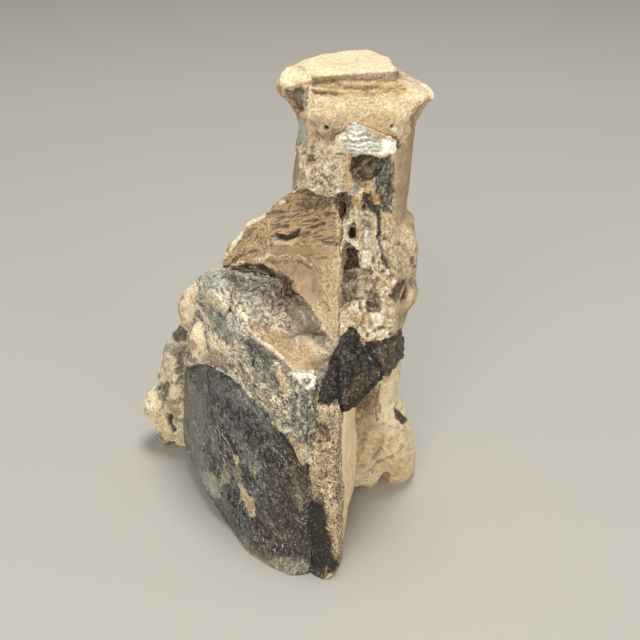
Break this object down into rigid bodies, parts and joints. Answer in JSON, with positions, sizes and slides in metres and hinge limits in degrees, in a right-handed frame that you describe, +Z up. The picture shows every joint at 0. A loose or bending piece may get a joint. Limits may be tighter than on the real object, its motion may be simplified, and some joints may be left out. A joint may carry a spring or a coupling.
{
  "type": "fossil ichthyosaur bone block",
  "caption": "Broken block of fossil ichthyosaur bone and mudstone standing upright: a waisted limb bone with a flared end on a dark plate of bone.",
  "frame": {"origin": "middle of the block's bounding box, on the floor that it stands on", "axes": "+Z up along the upright bone, -Y towards the front with the broken bone face, +X to the viewer's right"},
  "size_m": [0.099, 0.0864, 0.1477],
  "materials": {
    "tan_mudstone": "matt",
    "brown_mudstone": "matt",
    "cream_mudstone": "matt",
    "dark_bone": "semi-gloss",
    "brown_bone": "satin",
    "mottled_bone": "satin",
    "calcite": "glossy"
  },
  "bodies": {
    "root": {"bone_shaft": "brown_bone", "bone_cap": "tan_mudstone", "calcite_patch": "calcite", "flank_knob": "tan_mudstone", "flange": "brown_mudstone", "bone_plate": "dark_bone", "rim_band": "mottled_bone", "spongy_edge": "brown_bone", "black_wedge": "dark_bone", "brown_lump": "brown_bone", "lining": "cream_mudstone", "rear_foot": "cream_mudstone", "left_foot": "cream_mudstone", "nodule_upper": "cream_mudstone", "nodule_lower": "cream_mudstone", "core": "mottled_bone"}
  },
  "joints": []
}
